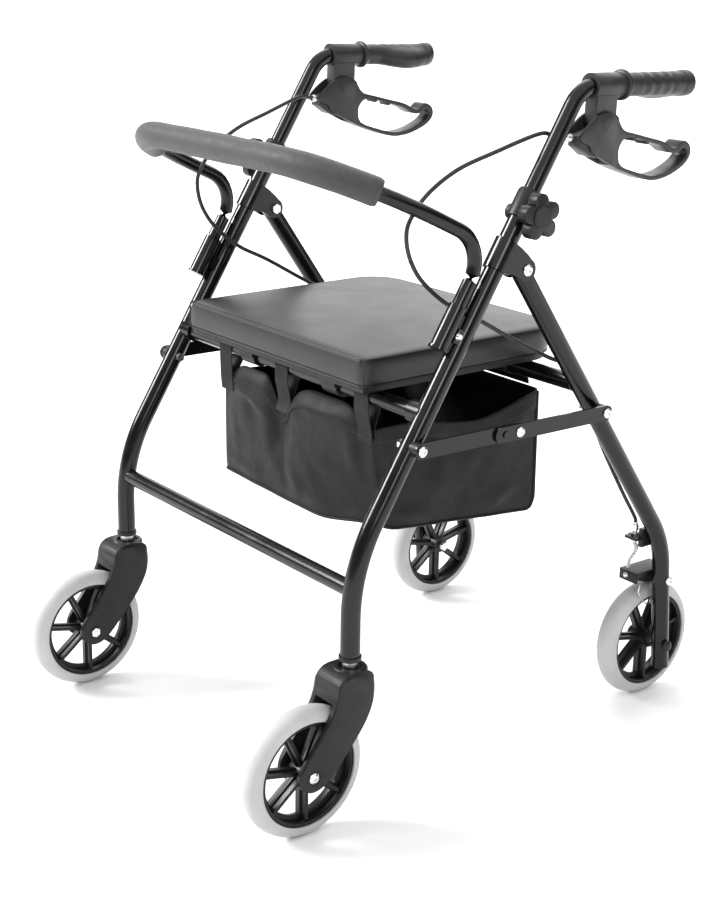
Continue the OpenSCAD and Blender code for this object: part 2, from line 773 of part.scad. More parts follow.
module brake_lever() {
    outer = soften(soften([[-8, -51], [-8, -58], [8, -63], [11, -71], [48, -88], [92, -102],
        [118, -108], [146, -104], [173, -92.5], [183, -81], [181, -70], [171, -64], [165, -65],
        [158, -72.5], [150, -72.5], [135, -64], [103, -57.5], [80, -52.5], [64, -49.5],
        [57, -43], [50, -31.5], [34, -27], [15.5, -31.5]]));
    inner = soften(soften([[56, -68], [57, -82], [64, -89.5], [94, -97.5], [118, -103], [144, -99],
        [167, -89], [177, -81], [175, -75], [169, -71.5], [160, -78], [148, -78], [133, -69],
        [103, -62], [80, -57], [64, -57]]));
    at_handle() difference() {
        union() {
            slab(-11, 11) difference() {
                polygon(outer);
                polygon(inner);
            }
            slab(-12.2, 12.2) intersection() {
                polygon(outer);
                polygon([[-20, -15], [52, -15], [52, -95], [-20, -95]]);
            }
            // finger bumps under the upper bar
            slab(-8, 8) {
                translate([86, -58.2]) circle(r = 3.6, $fn = 24);
                translate([108, -62.8]) circle(r = 3.6, $fn = 24);
            }
            rod_x(lever_pivot, 11, -12.9, 12.9);
        }
        slab(-9.5, 9.5) polygon([[-30, -10], [57, -10], [56, -36], [53.5, -46], [46, -62],
            [46, -110], [-30, -110]]);
        rod_x(lever_pivot, 3 + pin_gap, -20, 20);
    }
}

module brake_lever_left() {
    color("#2a2a2a") brake_lever();
}

module brake_lever_right() {
    color("#2a2a2a") other_side() brake_lever();
}

module height_knob() {
    at_main(knob_s) rotate([0, 90, 0]) {
        translate([0, 0, 9.75]) cylinder(h = 10, r = 3);
        translate([0, 0, 17]) cylinder(h = 3, r1 = 9, r2 = 12);
        translate([0, 0, 20]) cylinder(h = 15, r = 13);
        translate([0, 0, 35]) cylinder(h = 1.5, r1 = 13, r2 = 11);
        translate([0, 0, 21]) linear_extrude(12.5) for (k = [0:knob_lobes - 1])
            rotate(k * 360 / knob_lobes) translate([16, 0]) circle(r = 9.6, $fn = 32);
    }
}

module knob_left() {
    color("#2c2c2c") height_knob();
}

module knob_right() {
    color("#2c2c2c") other_side() height_knob();
}

// -------------------------------------------------------------- back bar

module backrest_tube() {
    color("#151515") pipe(back_path, back_r, back_r - 1.4, back_up, 16);
}

foam_end = 0.3 * back_path[12] + 0.7 * back_path[13];
foam_path = concat([foam_end], [for (p = back_path) if (p[1] < -175) p],
    [[-foam_end[0], foam_end[1], foam_end[2]]]);

module backrest_foam() {
    color("#5a5a5a") difference() {
        tube(foam_path, foam_d / 2, back_up, 24);
        tube(back_path, back_r + 0.15, back_up, 16);
    }
}

// ---------------------------------------------------------- rear brakes

module brake_arm() {
    p = brake_pivot;
    difference() {
        union() {
            slab(222, 224.9) {
                translate(p) circle(r = 8.5);
                polygon([[p[0] + 6, p[1] - 5], [p[0] + 14, 168], [p[0] + 16, 176], [246, 176], [246, 166],
                    [262, 162], [p[0] - 5, p[1] - 7]]);
            }
            slab(196, 224.9) polygon([[244, 176], [244, 162], [247, 162], [247.5, 173], [298, 173],
                [298, 176]]);
            slab(198, 215) polygon([[286, 174], [284, 148], [302, 148], [298, 174]]);
        }
        rod_x([axle_y, wheel_r], wheel_r + 3, 180, 221.6);
        rod_x(p, 3 + pin_gap, 210, 240);
    }
}

module brake_arm_left() {
    color("#1b1b1b") brake_arm();
}

module brake_arm_right() {
    color("#1b1b1b") other_side() brake_arm();
}

main_tube_left();
main_tube_right();
front_crossbar();
seat_crossbar();
tube_collars();
hinge_brackets();
backrest_sockets();
caster_caps();
caster_stems();
frame_bolts();
link_spacers_front();
brake_cable_left();
brake_cable_right();
bag();
bag_straps();
rear_leg_left();
rear_leg_right();
rear_crossbar();
rear_bolts();
link_spacers_rear();
cable_brackets();
cable_adjusters();
brake_springs();
bag_rear_sleeve();
front_links();
rear_links();
link_rivets();
seat_cushion();
seat_base();
seat_clips();
fork_left();
fork_right();
axle_front_left();
axle_front_right();
hub_front_left();
hub_front_right();
hub_rear_left();
hub_rear_right();
tyre_front_left();
tyre_front_right();
tyre_rear_left();
tyre_rear_right();
handle_tube_left();
handle_tube_right();
grip_left();
grip_right();
brake_housing_left();
brake_housing_right();
brake_hardware_left();
brake_hardware_right();
brake_lever_left();
brake_lever_right();
knob_left();
knob_right();
backrest_tube();
backrest_foam();
brake_arm_left();
brake_arm_right();
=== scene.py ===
"""Looks of a folding four-wheel walker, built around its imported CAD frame.

The frame's hard parts keep their CAD shape and get detailed materials.  The cushion, foam sleeve,
bag, straps, cables, springs and grips are modelled here.  Lengths are in millimetres until mesh()
turns them into metres.
"""

import json
import math

import bmesh
import bpy
import numpy as np
from mathutils import Matrix, Vector


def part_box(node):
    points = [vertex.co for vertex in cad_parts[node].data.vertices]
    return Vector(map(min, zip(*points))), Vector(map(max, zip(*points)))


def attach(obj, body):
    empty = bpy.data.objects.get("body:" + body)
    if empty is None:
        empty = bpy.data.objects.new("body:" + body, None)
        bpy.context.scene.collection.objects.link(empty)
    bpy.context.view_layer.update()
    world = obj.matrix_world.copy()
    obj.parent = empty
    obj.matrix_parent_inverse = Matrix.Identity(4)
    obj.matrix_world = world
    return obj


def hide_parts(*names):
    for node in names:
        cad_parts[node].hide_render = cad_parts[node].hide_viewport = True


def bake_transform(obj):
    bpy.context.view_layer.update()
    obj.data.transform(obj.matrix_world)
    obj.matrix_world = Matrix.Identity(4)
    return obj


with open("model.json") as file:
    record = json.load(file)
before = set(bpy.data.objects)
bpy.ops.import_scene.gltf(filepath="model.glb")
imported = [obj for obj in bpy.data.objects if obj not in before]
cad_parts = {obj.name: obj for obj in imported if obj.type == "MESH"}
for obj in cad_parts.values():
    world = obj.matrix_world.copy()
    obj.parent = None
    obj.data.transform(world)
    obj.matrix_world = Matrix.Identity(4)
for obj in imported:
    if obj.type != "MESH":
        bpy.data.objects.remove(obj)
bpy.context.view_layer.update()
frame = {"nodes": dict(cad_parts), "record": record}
MM = 0.001


# ------------------------------------------------------------------ places from the frame


def box_mm(node):
    low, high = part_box(node)
    return np.array(low) / MM, np.array(high) / MM


def middle(node):
    low, high = box_mm(node)
    return (low + high) / 2


LEAN = math.radians(31.85)
TOE = math.radians(2.2)
DIP = math.radians(1.5)
TUBE_X = middle("main_tube_left")[0]
LINK_PIN = np.array([-142.5, 417.0])
SEAT_BAR = middle("seat_crossbar")[1:]
REAR_BAR = middle("rear_crossbar")[1:]
BAR_R = 9.5
HANDLE_Z = 784.5
HANDLE_Y = LINK_PIN[0] + (HANDLE_Z - LINK_PIN[1]) * math.tan(LEAN)
SOCKET_S, SOCKET_T = 105.0, -24.5


def unit(v):
    v = np.array(v, float)
    return v / np.linalg.norm(v)


def on_main(along, across):
    """A point beside the left main tube: along it from the link pin, and square to it."""
    s, c = math.sin(LEAN), math.cos(LEAN)
    return np.array([TUBE_X, LINK_PIN[0] + along * s + across * c, LINK_PIN[1] + along * c - across * s])


def on_handle(p):
    """A point given in the left handle's own frame: x outboard, y along the grip, z up."""
    y = p[1] * math.cos(DIP) + p[2] * math.sin(DIP)
    return np.array([
        TUBE_X + p[0] * math.cos(TOE) - y * math.sin(TOE),
        HANDLE_Y + p[0] * math.sin(TOE) + y * math.cos(TOE),
        HANDLE_Z - p[1] * math.sin(DIP) + p[2] * math.cos(DIP)])


def corner(a, p, b, radius, steps):
    """Points of an arc that rounds the corner p between a and b."""
    d1, d2 = unit(p - a), unit(b - p)
    angle = math.acos(float(np.clip(d1 @ d2, -1, 1)))
    start = p - d1 * radius * math.tan(angle / 2)
    side = unit(d2 - d1 * (d1 @ d2))
    turns = [angle * k / steps for k in range(steps + 1)]
    return [start + d1 * radius * math.sin(t) + side * radius * (1 - math.cos(t)) for t in turns]


def route(points, radii, steps):
    points = [np.array(p, float) for p in points]
    path = [points[0]]
    for i, radius in enumerate(radii):
        path += corner(points[i], points[i + 1], points[i + 2], radius, steps)
    return path + [points[-1]]


def spline(points, steps):
    """A smooth open curve through the points."""
    p = [np.array(q, float) for q in points]
    path = []
    for i in range(len(p) - 1):
        a, b, c, d = p[max(i - 1, 0)], p[i], p[i + 1], p[min(i + 2, len(p) - 1)]
        for k in range(steps):
            t = k / steps
            path.append(0.5 * (2 * b + (c - a) * t + (2 * a - 5 * b + 4 * c - d) * t * t
                               + (3 * b - a - 3 * c + d) * t ** 3))
    return path + [p[-1]]


def resample(path, step):
    """The same line with points about one step apart."""
    path = np.array(path, float)
    run = np.concatenate([[0], np.cumsum(np.linalg.norm(np.diff(path, axis=0), axis=1))])
    marks = np.linspace(0, run[-1], max(int(run[-1] / step), 2) + 1)
    return np.stack([np.interp(marks, run, path[:, k]) for k in range(3)], axis=1)


def length_of(path):
    return float(np.linalg.norm(np.diff(np.array(path), axis=0), axis=1).sum())


# ------------------------------------------------------------------------- mesh helpers


def mesh(name, points, faces, smooth=True):
    """A mesh object from points in millimetres."""
    data = bpy.data.meshes.new(name)
    data.from_pydata([tuple(p) for p in np.array(points, float) * MM], [], [tuple(f) for f in faces])
    work = bmesh.new()
    work.from_mesh(data)
    bmesh.ops.remove_doubles(work, verts=work.verts, dist=2e-6)
    bmesh.ops.recalc_face_normals(work, faces=work.faces)
    work.to_mesh(data)
    work.free()
    data.polygons.foreach_set("use_smooth", [smooth] * len(data.polygons))
    obj = bpy.data.objects.new(name, data)
    bpy.context.scene.collection.objects.link(obj)
    return obj


def frames_along(path, ref):
    """Two cross directions at each path point, turned as little as possible from ref."""
    path = np.array(path, float)
    ahead = np.gradient(path, axis=0)
    ahead /= np.linalg.norm(ahead, axis=1)[:, None]
    side = unit(np.cross(ref, ahead[0]))
    pairs = []
    for d in ahead:
        side = unit(side - d * (side @ d))
        pairs.append((side, np.cross(d, side)))
    return pairs


def strip_faces(rings, sides, closed_round=True):
    """Quads between rings of points, each ring holding the same number of points."""
    faces = []
    for i in range(rings - 1):
        here, there = i * sides, (i + 1) * sides
        for j in range(sides if closed_round else sides - 1):
            after = (j + 1) % sides
            faces.append((here + j, there + j, there + after, here + after))
    return faces


def end_faces(rings, sides):
    """The two flat ends of a strip of rings."""
    last = (rings - 1) * sides
    return [tuple(range(sides)), tuple(range(last, last + sides))]


def looped(ring, extra=1):
    """The ring with its first points again at its end."""
    return np.vstack([ring, ring[:extra]])


def sweep(name, path, radius, sides=24, ref=(1, 0, 0), caps=True):
    """A round tube along a path; radius is a number or one value for each path point."""
    path = np.array(path, float)
    radius = np.broadcast_to(radius, (len(path),))
    turns = np.linspace(0, 2 * math.pi, sides, endpoint=False)
    points = []
    for centre, (a, b), r in zip(path, frames_along(path, ref), radius):
        points += [centre + r * (math.cos(t) * a + math.sin(t) * b) for t in turns]
    faces = strip_faces(len(path), sides)
    if caps:
        faces += end_faces(len(path), sides)
    return mesh(name, points, faces)


def ribbon(name, path, width, thick, across=(1, 0, 0)):
    """A flat band of cloth along a path, with its width along one direction."""
    path = np.array(path, float)
    across = unit(across)
    ahead = np.gradient(path, axis=0)
    ahead /= np.linalg.norm(ahead, axis=1)[:, None]
    points = []
    for p, d in zip(path, ahead):
        out = unit(np.cross(d, across)) * thick / 2
        w = across * width / 2
        edge = across * (width / 2 + thick * 0.35)
        points += [p + w + out, p + edge, p + w - out, p - w - out, p - edge, p - w + out]
    sides = 6
    faces = strip_faces(len(path), sides) + end_faces(len(path), sides)
    return mesh(name, points, faces, smooth=False)


def join(name, objects):
    """One mesh object from several."""
    work = bmesh.new()
    for o in objects:
        work.from_mesh(o.data)
        data = o.data
        bpy.data.objects.remove(o)
        bpy.data.meshes.remove(data)
    data = bpy.data.meshes.new(name)
    work.to_mesh(data)
    work.free()
    obj = bpy.data.objects.new(name, data)
    bpy.context.scene.collection.objects.link(obj)
    return obj


def mirrored(obj, name):
    """The same piece on the user's right."""
    data = obj.data.copy()
    data.transform(Matrix.Scale(-1, 4, Vector((1, 0, 0))))
    data.flip_normals()
    twin = bpy.data.objects.new(name, data)
    bpy.context.scene.collection.objects.link(twin)
    return twin


def apply_modifiers(obj):
    bpy.context.view_layer.update()
    graph = bpy.context.evaluated_depsgraph_get()
    done = bpy.data.meshes.new_from_object(obj.evaluated_get(graph))
    obj.modifiers.clear()
    obj.data = done


def subdivide(obj):
    modifier = obj.modifiers.new("round", "SUBSURF")
    modifier.levels = modifier.render_levels = 1
    apply_modifiers(obj)


def shade_smooth(obj):
    obj.data.polygons.foreach_set("use_smooth", [True] * len(obj.data.polygons))


def set_points(obj, points):
    obj.data.vertices.foreach_set("co", points.astype(np.float32).ravel())


def dress(obj, material):
    obj.data.materials.clear()
    obj.data.materials.append(material)
    return obj


# ---------------------------------------------------------------------------- materials


class Nodes:
    """A short way to write one procedural material."""

    def __init__(self, name, **sockets):
        self.material = bpy.data.materials.new(name)
        self.material.use_nodes = True
        self.tree = self.material.node_tree
        self.shader = self.tree.nodes["Principled BSDF"]
        for key, value in sockets.items():
            self.shader.inputs[key.replace("_", " ")].default_value = value
        self.place = self.tree.nodes.new("ShaderNodeTexCoord").outputs["Object"]

    def add(self, kind, **values):
        node = self.tree.nodes.new(kind)
        for key, value in values.items():
            setattr(node, key, value)
        return node

    def link(self, a, b):
        self.tree.links.new(a, b)

    def noise(self, scale, detail=3.0, rough=0.5, stretch=(1, 1, 1)):
        node = self.add("ShaderNodeTexNoise")
        node.inputs["Scale"].default_value = scale
        node.inputs["Detail"].default_value = detail
        node.inputs["Roughness"].default_value = rough
        self.link(self.stretched(stretch), node.inputs["Vector"])
        return node.outputs["Fac"]

    def stretched(self, stretch):
        if stretch == (1, 1, 1):
            return self.place
        node = self.add("ShaderNodeMapping")
        node.inputs["Scale"].default_value = stretch
        self.link(self.place, node.inputs["Vector"])
        return node.outputs["Vector"]

    def cells(self, scale, feature="F1"):
        node = self.add("ShaderNodeTexVoronoi", feature=feature)
        node.inputs["Scale"].default_value = scale
        self.link(self.place, node.inputs["Vector"])
        return node.outputs["Distance"]

    def wave(self, direction, scale, distort=0.0):
        node = self.add("ShaderNodeTexWave", bands_direction=direction)
        node.inputs["Scale"].default_value = scale
        node.inputs["Distortion"].default_value = distort
        self.link(self.place, node.inputs["Vector"])
        return node.outputs["Fac"]

    def math(self, operation, a, b):
        node = self.add("ShaderNodeMath", operation=operation)
        for socket, value in zip(node.inputs, (a, b)):
            if isinstance(value, (int, float)):
                socket.default_value = value
            else:
                self.link(value, socket)
        return node.outputs[0]

    def blend_value(self, factor, low, high):
        node = self.add("ShaderNodeMapRange")
        node.inputs["From Min"].default_value = 0.3
        node.inputs["From Max"].default_value = 0.7
        node.inputs["To Min"].default_value = low
        node.inputs["To Max"].default_value = high
        self.link(factor, node.inputs["Value"])
        return node.outputs["Result"]

    def colour(self, factor, low, high, start=0.3, end=0.7):
        ramp = self.add("ShaderNodeValToRGB")
        ramp.color_ramp.elements[0].position = start
        ramp.color_ramp.elements[1].position = end
        ramp.color_ramp.elements[0].color = (*low, 1)
        ramp.color_ramp.elements[1].color = (*high, 1)
        self.link(factor, ramp.inputs["Fac"])
        self.link(ramp.outputs["Color"], self.shader.inputs["Base Color"])

    def roughness(self, factor, low, high):
        self.link(self.blend_value(factor, low, high), self.shader.inputs["Roughness"])

    def bump(self, height, distance, strength=1.0, below=None):
        node = self.add("ShaderNodeBump")
        node.inputs["Distance"].default_value = distance
        node.inputs["Strength"].default_value = strength
        self.link(height, node.inputs["Height"])
        if below is not None:
            self.link(below, node.inputs["Normal"])
        self.link(node.outputs["Normal"], self.shader.inputs["Normal"])
        return node.outputs["Normal"]


def grey(value):
    return (value, value, value)


def gloss_paint():
    m = Nodes("gloss_black_paint", Coat_Weight=0.18, Coat_Roughness=0.06, Specular_IOR_Level=0.25)
    m.colour(m.noise(60), (0.0025, 0.0025, 0.003), (0.005, 0.005, 0.0055))
    m.roughness(m.noise(35, 5), 0.16, 0.28)
    peel = m.bump(m.noise(900, 2), 0.00004, 0.5)
    m.bump(m.noise(5200, 1), 0.00001, 0.3, peel)
    return m.material


def moulded(name, low, high, rough_low, rough_high, grain=0.00006):
    """Moulded plastic: a fine spark-eroded grain with slow variations of gloss."""
    m = Nodes(name, Specular_IOR_Level=0.3)
    m.colour(m.noise(45, 4), grey(low), grey(high))
    m.roughness(m.noise(80, 4), rough_low, rough_high)
    base = m.bump(m.noise(1400, 3, 0.6), grain, 0.8)
    m.bump(m.cells(2600), grain * 0.4, 0.5, base)
    return m.material


def tyre_rubber():
    m = Nodes("tyre_light_grey")
    m.colour(m.noise(22, 6, 0.6), (0.40, 0.40, 0.395), (0.47, 0.47, 0.465))
    m.roughness(m.noise(140, 4), 0.5, 0.68)
    base = m.bump(m.noise(1800, 4, 0.65), 0.00006, 0.8)
    m.bump(m.wave("X", 260), 0.00003, 0.25, base)
    return m.material


def steel():
    m = Nodes("bright_steel", Metallic=1.0)
    m.colour(m.noise(300, 3), (0.62, 0.62, 0.63), (0.80, 0.80, 0.81))
    m.roughness(m.noise(220, 5), 0.16, 0.34)
    m.bump(m.noise(900, 3, 0.5, (1, 6, 6)), 0.00003, 0.4)
    return m.material


def cable_jacket():
    m = Nodes("cable_jacket", Specular_IOR_Level=0.35)
    m.colour(m.noise(200), grey(0.012), grey(0.024))
    m.roughness(m.noise(300), 0.36, 0.5)
    m.bump(m.noise(2400, 2), 0.00003, 0.6)
    return m.material


def soft_rubber():
    m = Nodes("grip_rubber", Specular_IOR_Level=0.35)
    m.colour(m.noise(70, 5), grey(0.012), grey(0.024))
    m.roughness(m.noise(130, 4), 0.34, 0.5)
    base = m.bump(m.noise(1500, 3, 0.6), 0.00008, 0.8)
    m.bump(m.cells(1900), 0.00005, 0.5, base)
    return m.material


def foam_skin():
    m = Nodes("foam_grey", Sheen_Weight=0.12, Sheen_Roughness=0.5, Specular_IOR_Level=0.35)
    m.colour(m.noise(90, 6, 0.65), grey(0.036), grey(0.046))
    m.roughness(m.noise(160, 4), 0.5, 0.68)
    base = m.bump(m.cells(1100), 0.00018, 0.6)
    base = m.bump(m.noise(420, 5, 0.6), 0.00022, 0.5, base)
    m.bump(m.noise(60, 2), 0.0004, 0.25, base)
    return m.material


def vinyl():
    """Upholstery vinyl: pebbled leather grain with soft creasing and a slow sheen."""
    m = Nodes("seat_vinyl", Coat_Weight=0.1, Coat_Roughness=0.4, Specular_IOR_Level=0.4)
    m.colour(m.noise(14, 3), grey(0.008), grey(0.011))
    m.roughness(m.noise(20, 3), 0.36, 0.42)
    base = m.bump(m.cells(520, "DISTANCE_TO_EDGE"), 0.00016, 0.45)
    base = m.bump(m.noise(1300, 3), 0.00008, 0.5, base)
    m.bump(m.noise(12, 2, 0.5, (1, 1, 2.5)), 0.0012, 0.3, base)
    return m.material


def nylon(name, low, high, crush=1.0):
    """Coated nylon: a plain weave of half-millimetre threads over soft crush marks."""
    m = Nodes(name, Sheen_Weight=0.02, Sheen_Roughness=0.45, Specular_IOR_Level=0.22)
    m.colour(m.noise(30, 6), grey(low), grey(high))
    m.roughness(m.noise(40, 5), 0.42, 0.6)
    ribs = [m.wave(axis, 520, 0.4) for axis in "XYZ"]
    weave = m.math("ADD", ribs[0], m.math("ADD", ribs[1], ribs[2]))
    base = m.bump(weave, 0.00008, 0.5)
    base = m.bump(m.noise(26, 5, 0.55, (1, 1, 0.7)), 0.004 * crush, 0.5, base)
    m.bump(m.noise(95, 4, 0.6), 0.0008 * crush, 0.35, base)
    return m.material


def thread():
    m = Nodes("stitch_thread")
    m.colour(m.noise(900), grey(0.03), grey(0.055))
    m.roughness(m.noise(700), 0.5, 0.7)
    m.bump(m.wave("DIAGONAL", 900), 0.00008, 0.5)
    return m.material


PAINT = gloss_paint()
PLASTIC = moulded("black_plastic", 0.007, 0.012, 0.34, 0.5)
LEVER = moulded("lever_plastic", 0.020, 0.032, 0.32, 0.44, 0.00004)
HUB = moulded("hub_plastic", 0.004, 0.008, 0.3, 0.44)
FORK = moulded("fork_plastic", 0.006, 0.011, 0.36, 0.5)
TYRE = tyre_rubber()
STEEL = steel()
CABLE = cable_jacket()
RUBBER = soft_rubber()
FOAM = foam_skin()
VINYL = vinyl()
NYLON = nylon("bag_nylon", 0.004, 0.009)
WEBBING = nylon("strap_nylon", 0.004, 0.008, 0.3)
THREAD = thread()

MATERIAL_OF_SLOT = {
    "frame_paint": PAINT, "black_plastic": PLASTIC, "lever_plastic": LEVER, "hub_plastic": HUB,
    "tyre_grey": TYRE, "bright_steel": STEEL, "cable_black": CABLE, "grip_rubber": RUBBER,
    "foam_grey": FOAM, "seat_vinyl": VINYL, "bag_fabric": NYLON}


MOULDED_NODES = ("brake_lever", "brake_housing", "fork", "knob", "hub", "brake_arm")


def dress_cad_nodes():
    """Each CAD node gets its finished material and smooth shading between its hard edges.

    Moulded pieces also get a small bevel.
    """
    for part in frame["record"]["subparts"]:
        node = frame["nodes"][part["node"]]
        material = MATERIAL_OF_SLOT[part["material_slot"]]
        if part["node"].startswith("fork"):
            material = FORK
        data = node.data
        for index in range(max(len(data.materials), 1)):
            if index < len(data.materials):
                data.materials[index] = material
            else:
                data.materials.append(material)
        shade_smooth(node)
        if "custom_normal" in data.attributes:
            data.attributes.remove(data.attributes["custom_normal"])
        weld = node.modifiers.new("weld", "WELD")
        weld.merge_threshold = 1e-6
        if part["node"].startswith(MOULDED_NODES):
            bevel = node.modifiers.new("edges", "BEVEL")
            bevel.width = 0.0006
            bevel.segments = 2
            bevel.limit_method = "ANGLE"
            bevel.angle_limit = math.radians(38)
        split = node.modifiers.new("creases", "EDGE_SPLIT")
        split.split_angle = math.radians(34)


# -------------------------------------------------------------------------- seat cushion

SEAT_COUNT = 200  # points in one ring of the cushion
SEAT_REAR_CORNER, SEAT_FRONT_CORNER = 46, 7

def seat_ring(inset, z):
    """A closed ring of points at height z: sharp front corners and round rear ones."""
    low, high = box_mm("seat_cushion")
    left, right = low[0] + inset, high[0] - inset
    front, back = low[1] + inset, high[1] - inset
    wide = max(SEAT_REAR_CORNER - inset, 8)
    sharp = max(SEAT_FRONT_CORNER - inset * 0.3, 3)
    corners = [(left, front, sharp), (right, front, sharp), (right, back, wide), (left, back, wide)]
    ring = []
    for i, (x, y, radius) in enumerate(corners):
        before = np.array([*corners[i - 1][:2], z])
        after = np.array([*corners[(i + 1) % 4][:2], z])
        ring += corner(before, np.array([x, y, z]), after, radius, 8)
    closed = looped(np.array(ring))
    return resample(closed, length_of(closed) / (SEAT_COUNT + 0.5))[:SEAT_COUNT]


def crowned(rings, name):
    """A closed form through the rings, its ends filled by rings that shrink to a middle point."""
    points, sides = np.vstack(rings), len(rings[0])
    faces = strip_faces(len(rings), sides)
    for ring, first in ((rings[0], 0), (rings[-1], (len(rings) - 1) * sides)):
        points = np.vstack([points, ring.mean(axis=0)])
        hub = len(points) - 1
        faces += [(first + j, first + (j + 1) % sides, hub) for j in range(sides)]
    return mesh(name, points, faces)


def cushion_rings():
    """From the flat underside up the sides and over the crowned top."""
    low, high = box_mm("seat_cushion")
    base, top = low[2] + 0.3, high[2]
    rings = [seat_ring(30, base), seat_ring(3.5, base), seat_ring(1.2, base + 1.5)]
    rings += [seat_ring(inset, base + rise) for inset, rise in ((0.7, 5), (0.5, 14), (0.7, 23), (1.2, 29))]
    shoulder = 34.4
    rings += [seat_ring(2.4, base + 32.4), seat_ring(5, base + shoulder)]
    edge, middle_point = rings[-1], rings[-1].mean(axis=0)
    crown = top - base - shoulder - 0.8
    for share in (0.94, 0.86, 0.74, 0.58, 0.4, 0.2):
        ring = middle_point + (edge - middle_point) * share
        ring[:, 2] = base + shoulder + crown * (1 - share ** 2.6)
        rings.append(ring)
    return rings


def simulate(obj, pressure, limit, held, frames=20):
    """Blows the shell up like padded fabric, then caps how far each point moved."""
    group = obj.vertex_groups.new(name="held")
    start = np.array([v.co for v in obj.data.vertices])
    for index, weight in enumerate(held(start / MM)):
        if weight > 0:
            group.add([index], float(weight), "REPLACE")
    cloth = obj.modifiers.new("cloth", "CLOTH")
    cloth.settings.use_pressure = True
    cloth.settings.uniform_pressure_force = pressure
    cloth.settings.quality = 6
    cloth.settings.mass = 0.3
    cloth.settings.tension_stiffness = 25
    cloth.settings.compression_stiffness = 25
    cloth.settings.bending_stiffness = 1.5
    cloth.settings.vertex_group_mass = "held"
    cloth.settings.effector_weights.gravity = 0
    cloth.collision_settings.use_collision = False
    cloth.point_cache.frame_start, cloth.point_cache.frame_end = 1, frames
    scene = bpy.context.scene
    for step in range(1, frames + 1):
        scene.frame_set(step)
    apply_modifiers(obj)
    moved = np.array([v.co for v in obj.data.vertices]) - start
    far = np.linalg.norm(moved, axis=1)
    share = np.minimum(1, limit * MM / np.maximum(far, 1e-9))
    set_points(obj, start + moved * share[:, None])
    scene.frame_set(1)


def make_cushion():
    """The padded cushion, blown up by a cloth simulation and kept near its CAD box."""
    low, high = box_mm("seat_cushion")
    pad = crowned(cushion_rings(), "seat_pad")
    remesh = pad.modifiers.new("remesh", "REMESH")
    remesh.mode = "VOXEL"
    remesh.voxel_size = 4.5 * MM
    remesh.use_smooth_shade = True
    apply_modifiers(pad)

    def held(points):
        edge = np.minimum(points[:, 2] - low[2], 4) / 4
        rim = np.exp(-((points[:, 2] - high[2] + 7.5) / 3.0) ** 2)
        inside = np.maximum(np.abs(points[:, 0]) - 152, 0) > 0
        inside |= (points[:, 1] < low[1] + 14) | (points[:, 1] > high[1] - 14)
        return np.clip(np.maximum(1 - edge, rim * inside * 0.85), 0, 1)

    simulate(pad, 3.0, 5.0, held)
    swell = 1.5  # how far the padding may stand out past its CAD box
    floor = low - [swell, swell, -0.2]
    co = np.array([v.co for v in pad.data.vertices])
    set_points(pad, np.clip(co, floor * MM, (high + swell) * MM))
    subdivide(pad)
    shade_smooth(pad)
    dress(pad, VINYL)
    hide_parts("seat_cushion")
    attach(pad, "seat")


def make_seat_seams():
    """The welt round the top edge, and the folded corners at the front."""
    low, high = box_mm("seat_cushion")
    ring = seat_ring(2.0, high[2] - 8.2)
    welt = sweep("seat_welt", looped(ring, 2), 0.9, 8, (0, 0, 1), caps=False)
    hem_ring = seat_ring(1.6, low[2] + 2.4)
    hem = sweep("hem", looped(hem_ring, 2), 0.8, 8, (0, 0, 1), caps=False)
    folds = []
    for x in (low[0] + 2.6, high[0] - 2.6):
        path = [(x, low[1] + 2.4, z) for z in np.linspace(low[2] + 2, high[2] - 8, 12)]
        folds.append(sweep("fold", path, 0.8, 8))
    seams = join("seat_seams", [welt, hem, *folds])
    shade_smooth(seams)
    dress(seams, VINYL)
    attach(seams, "seat")


# ---------------------------------------------------------------------------- back foam

BACK_PATH = route([on_main(SOCKET_S + 4, SOCKET_T), (TUBE_X, -42.1, 625.1), (TUBE_X - 3, -229, 713.5),
                   (3 - TUBE_X, -229, 713.5)], [40, 130], 40)
FOAM_END_Y = -171.5
FOAM_R, FOAM_BORE = 15.4, 8.4


def make_foam():
    """A foam sleeve on the back bar, a little uneven along its length, with cut ends."""
    left = [p for p in BACK_PATH if p[1] < FOAM_END_Y and p[0] > 0]
    path = resample(left + [p * [-1, 1, 1] for p in reversed(left)], 4.5)
    run = np.linspace(0, length_of(path), len(path))
    radius = FOAM_R + 0.25 * np.sin(run / 31.0) + 0.15 * np.sin(run / 11.7 + 1.3)
    lip = np.minimum(np.minimum(run, run[-1] - run) / 3.0, 1)
    radius = radius - 1.6 * (1 - np.sqrt(1 - (1 - lip) ** 2))
    outer = sweep("foam_outer", path, radius, 40, (0, 0.42, 0.9), caps=False)
    inner = sweep("foam_inner", path, FOAM_BORE, 40, (0, 0.42, 0.9), caps=False)
    foam = join("back_foam", [outer, inner])
    work = bmesh.new()
    work.from_mesh(foam.data)
    for side in (1, -1):
        rim = [e for e in work.edges if e.is_boundary and e.verts[0].co.x * side > 0]
        bmesh.ops.bridge_loops(work, edges=rim)
    bmesh.ops.recalc_face_normals(work, faces=work.faces)
    work.to_mesh(foam.data)
    work.free()
    shade_smooth(foam)
    dress(foam, FOAM)
    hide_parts("backrest_foam")
    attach(foam, "backrest")


# ---------------------------------------------------------------------------------- bag

BAG_LOOPS = (-132.0, -14.0, 139.0)
BAG_HALF = box_mm("bag")[1][0] - 0.6
FRONT, SIDE = 90, 56  # points along a panel of the bag
LOWEST, HEM_FOOT = 0.012, 0.865  # shares of the panels' height
STITCH_R = 0.34


def bag_front_y(z):
    return float(np.interp(z, [264, 284, 300, 426], [-118, -123, -124.6, -125.6]))


def bag_rear_y(z):
    return float(np.interp(z, [262, 270, 280, 418], [120, 129, 133, 131]))


